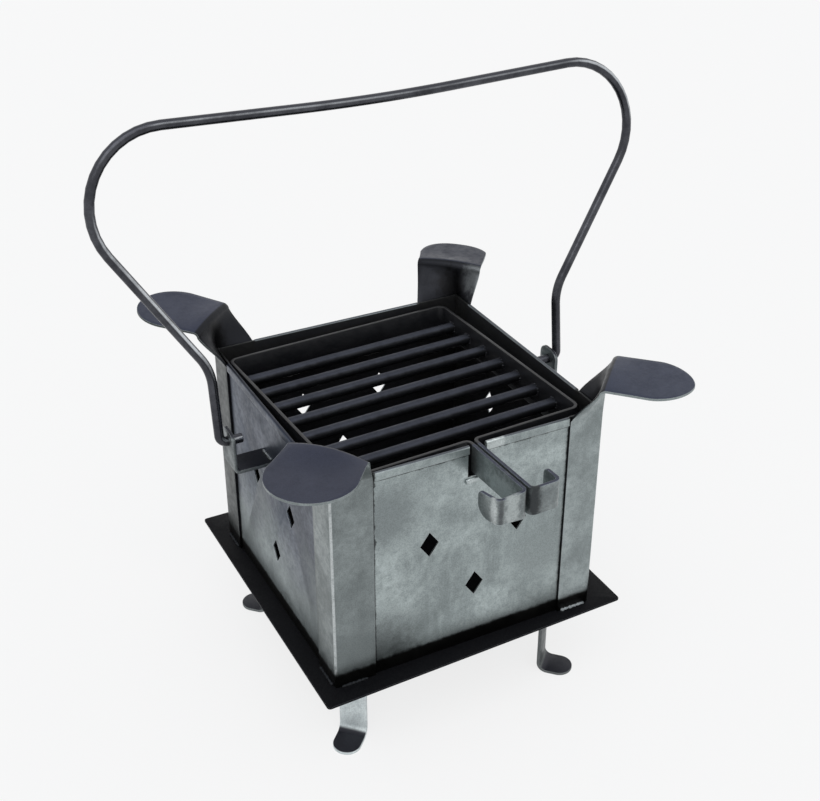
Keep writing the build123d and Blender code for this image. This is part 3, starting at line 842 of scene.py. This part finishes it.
bar_half = 0.005
bar_length = 2 * (strip_face - strip_thick)
bar_seats = []
for number in range(1, 8):
    bar_low, bar_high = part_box("grate_bar_%d" % number)
    bar_seats.append(Matrix.Translation((bar_low + bar_high) / 2) @ grate_spin)
for number, seat in enumerate(bar_seats, 1):
    bpy.ops.object.select_all(action="DESELECT")
    bpy.ops.mesh.primitive_cylinder_add(vertices=28, radius=bar_half, depth=bar_length,
                                        rotation=(0, math.radians(90), 0))
    bar = bpy.context.active_object
    bpy.ops.object.transform_apply(location=True, rotation=True, scale=True)
    set_down("bar_%d" % number)
    pick(bar, "FACE", lambda f: abs(f.normal.x) > 0.9)
    bpy.ops.mesh.inset(thickness=0.0006)
    split_at(*(((bar_length * (cut / 8 - 0.5), 0, 0), (1, 0, 0)) for cut in range(1, 8)))
    bpy.ops.object.mode_set(mode="OBJECT")
    bar.data.transform(seat)
    bpy.ops.object.shade_smooth_by_angle(angle=math.radians(40))
    fit(bar, bar_steel, "grate", "grate_bar", "grate_bar_%d" % number)


# ----------------------------------------
# The welds: short lumpy runs along the feet of the posts, the tops of the feet,
# the ears and the ledges, and a rough ring round each end of each bar.
# ----------------------------------------
rough_weld = dict(patch=180.0, grain=(90, 90, 90), gloss_spread=0.2, dents=0.4)
weld_bright = steel("weld bright", light=(0.42, 0.46, 0.47), dull=(0.14, 0.155, 0.16), top=(0.16, 0.175, 0.19),
                    rough=0.30, **rough_weld)
weld_dark = steel("weld dark", light=(0.055, 0.058, 0.064), dull=(0.014, 0.0145, 0.016),
                  top=(0.045, 0.048, 0.056), rough=0.38, **rough_weld)
weld_mixed = steel("weld by the posts", light=(0.022, 0.023, 0.026), dull=(0.009, 0.0095, 0.011),
                   top=(0.022, 0.024, 0.028), rough=0.44, metal=0.3, sheen=0.1,
                   spots=(((0.107, middle_y - 0.126, tray_top), 0.022, (0.34, 0.37, 0.38)),), **rough_weld)


def lay_welds(name, runs, size, low, high, coarse=0.00055):
    """Lays drops of weld one over another along each run and melts them into one lumpy bead."""
    bpy.ops.object.select_all(action="DESELECT")
    bpy.ops.mesh.primitive_ico_sphere_add(subdivisions=1, radius=0.0001, location=runs[0][0])
    weld = bpy.context.active_object
    bpy.ops.object.transform_apply(location=True, rotation=True, scale=True)
    set_down(name)
    drop = 0
    for run in runs:
        for place in run:
            swell = size * (0.80 + 0.20 * math.sin(drop * 2.39) + 0.08 * math.sin(drop * 5.1))
            drop += 1
            bpy.ops.mesh.primitive_ico_sphere_add(subdivisions=2, radius=swell, location=place)
    bpy.ops.object.mode_set(mode="OBJECT")
    melt = weld.modifiers.new("melt", "REMESH")
    melt.mode = "VOXEL"
    melt.voxel_size = coarse
    melt.use_smooth_shade = True
    bpy.ops.object.modifier_apply(modifier=melt.name)
    for vertex in weld.data.vertices:
        vertex.co = [min(max(c, a), b) for c, a, b in zip(vertex.co, low, high)]
    return weld


def drops_along(start, end, count):
    start, end = Vector(start), Vector(end)
    return [start.lerp(end, step / (count - 1)) + Vector((0, 0, 0.0002 * math.sin(step * 3.7)))
            for step in range(count)]


def turned(turn, run):
    spin = Matrix.Translation(centre) @ Matrix.Rotation(math.radians(turn), 4, "Z")
    return [spin @ place for place in run]


inset = 0.0006  # how far a drop's middle stands out from both faces it lies between
post_run_half, foot_run_half, ear_run_half, ledge_run_half = 0.0108, 0.009, 0.008, 0.009
post_run_place, ledge_run_place = 0.1075, 0.075  # from a wall's middle to the middle of a run
runs = []
beside, level = -body_half - inset, tray_top + inset
for turn in (0, 90, 180, 270):
    for along in (-post_run_place, post_run_place):
        run = drops_along((along - post_run_half, beside, level), (along + post_run_half, beside, level), 14)
        runs.append(turned(turn, run))
weld = lay_welds("weld_run_posts", runs, 0.0017, *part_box("post_welds"))
fit(weld, weld_mixed, "stove_body", "weld_metal", "post_welds")

runs = []
level = tray_low.z - inset
for turn in (-135, -45, 45, 135):
    for out in (strip_x + foot_thick / 2 + inset, strip_x - foot_thick / 2 - inset):
        runs.append(turned(turn, drops_along((out, -foot_run_half, level), (out, foot_run_half, level), 12)))
weld = lay_welds("weld_run_feet", runs, 0.0017, *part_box("foot_welds"))
fit(weld, weld_bright, "stove_body", "weld_metal", "foot_welds")

runs = []
for way in (-1, 1):
    beside = way * (wall_face + inset)
    for up in (ear_thick / 2 + inset, -ear_thick / 2 - inset):
        level = pivot.z - ear_drop + up
        runs.append(drops_along((beside, pivot.y - ear_run_half, level),
                                (beside, pivot.y + ear_run_half, level), 11))
weld = lay_welds("weld_run_ears", runs, 0.0018, *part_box("ear_welds"))
fit(weld, weld_bright, "stove_body", "weld_metal", "ear_welds")

runs = []
level = ledge_low.z - inset
for way in (-1, 1):
    beside = way * (wall_face - wall_sheet - inset)
    for along in (middle_y - ledge_run_place, middle_y + ledge_run_place):
        runs.append(drops_along((beside, along - ledge_run_half, level),
                                (beside, along + ledge_run_half, level), 12))
weld = lay_welds("weld_run_ledges", runs, 0.0017, *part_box("ledge_welds"))
fit(weld, weld_dark, "stove_body", "weld_metal", "ledge_welds")

runs = []
ring = bar_half + 0.0002
for seat in bar_seats:
    for way in (-1, 1):
        angles = [math.radians(30 * step) for step in range(12)]
        runs.append([seat @ Vector((way * (bar_length / 2 - 0.0003), ring * math.cos(a), ring * math.sin(a)))
                     for a in angles])
weld = lay_welds("weld_rings", runs, 0.0012, *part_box("grate_welds"), coarse=0.0005)
fit(weld, weld_dark, "grate", "weld_metal", "grate_welds")


# ----------------------------------------
# The setting: a pale floor and an even sky, which show as plain white to the
# camera and in the steel's reflections, a soft high light, and the camera.
# ----------------------------------------
def seen_or_mirrored(nodes, links):
    """Is 1 for what the camera sees, straight or by reflection, and 0 for the light on the stove."""
    ray = nodes.new("ShaderNodeLightPath")
    seen = ray.outputs["Is Camera Ray"]
    for kind in ("Is Glossy Ray", "Is Transmission Ray"):
        either = nodes.new("ShaderNodeMath")
        either.operation = "MAXIMUM"
        links.new(seen, either.inputs[0])
        links.new(ray.outputs[kind], either.inputs[1])
        seen = either.outputs[0]
    return seen


bpy.ops.object.select_all(action="DESELECT")
bpy.ops.mesh.primitive_plane_add(size=14, location=(0, 2, 0))
floor = bpy.context.active_object
floor.name = "floor"
floor_paint = bpy.data.materials.new("floor paint")
floor_paint.use_nodes = True
nodes = floor_paint.node_tree.nodes
links = floor_paint.node_tree.links
paint = nodes["Principled BSDF"]
paint.inputs["Base Color"].default_value = (0.86, 0.86, 0.86, 1)
paint.inputs["Roughness"].default_value = 0.9
paint.inputs["Specular IOR Level"].default_value = 0.1
pale = nodes.new("ShaderNodeEmission")
pale.inputs["Color"].default_value = (0.985, 0.985, 0.985, 1)
pale.inputs["Strength"].default_value = 1.0
part = nodes.new("ShaderNodeMath")  # the rest is the paint, which holds the stove's shadow
part.operation = "MULTIPLY"
links.new(seen_or_mirrored(nodes, links), part.inputs[0])
part.inputs[1].default_value = 0.8
mix = nodes.new("ShaderNodeMixShader")
links.new(part.outputs[0], mix.inputs[0])
links.new(paint.outputs[0], mix.inputs[1])
links.new(pale.outputs[0], mix.inputs[2])
links.new(mix.outputs[0], nodes["Material Output"].inputs["Surface"])
floor.data.materials.append(floor_paint)

world = bpy.data.worlds.new("even sky")
bpy.context.scene.world = world
world.use_nodes = True
nodes = world.node_tree.nodes
links = world.node_tree.links
sky = nodes["Background"]
sky.inputs["Color"].default_value = (0.93, 0.96, 1.0, 1)
sky.inputs["Strength"].default_value = 0.55
backdrop = nodes.new("ShaderNodeBackground")
backdrop.inputs["Color"].default_value = (0.945, 0.945, 0.945, 1)
backdrop.inputs["Strength"].default_value = 1.0
mix = nodes.new("ShaderNodeMixShader")
links.new(seen_or_mirrored(nodes, links), mix.inputs[0])
links.new(sky.outputs[0], mix.inputs[1])
links.new(backdrop.outputs[0], mix.inputs[2])
links.new(mix.outputs[0], nodes["World Output"].inputs["Surface"])

bpy.ops.object.light_add(type="SUN", location=(0, 0, 2), rotation=(math.radians(32), math.radians(-18), 0))
sun = bpy.context.active_object
sun.name = "high soft light"
sun.data.energy = 1.3
sun.data.angle = math.radians(60)

bpy.ops.object.camera_add(location=(-0.44199, -0.864709, 0.82923))
camera = bpy.context.active_object
camera.name = "camera"
looking = Vector((0.39786, 0.76734, -0.50289))
camera.rotation_euler = looking.to_track_quat("-Z", "Y").to_euler()
camera.data.sensor_fit = "HORIZONTAL"
camera.data.sensor_width = 36.0
camera.data.lens = 57.003
bpy.context.scene.camera = camera
bpy.context.scene.view_settings.view_transform = "Standard"

bpy.context.view_layer.update()
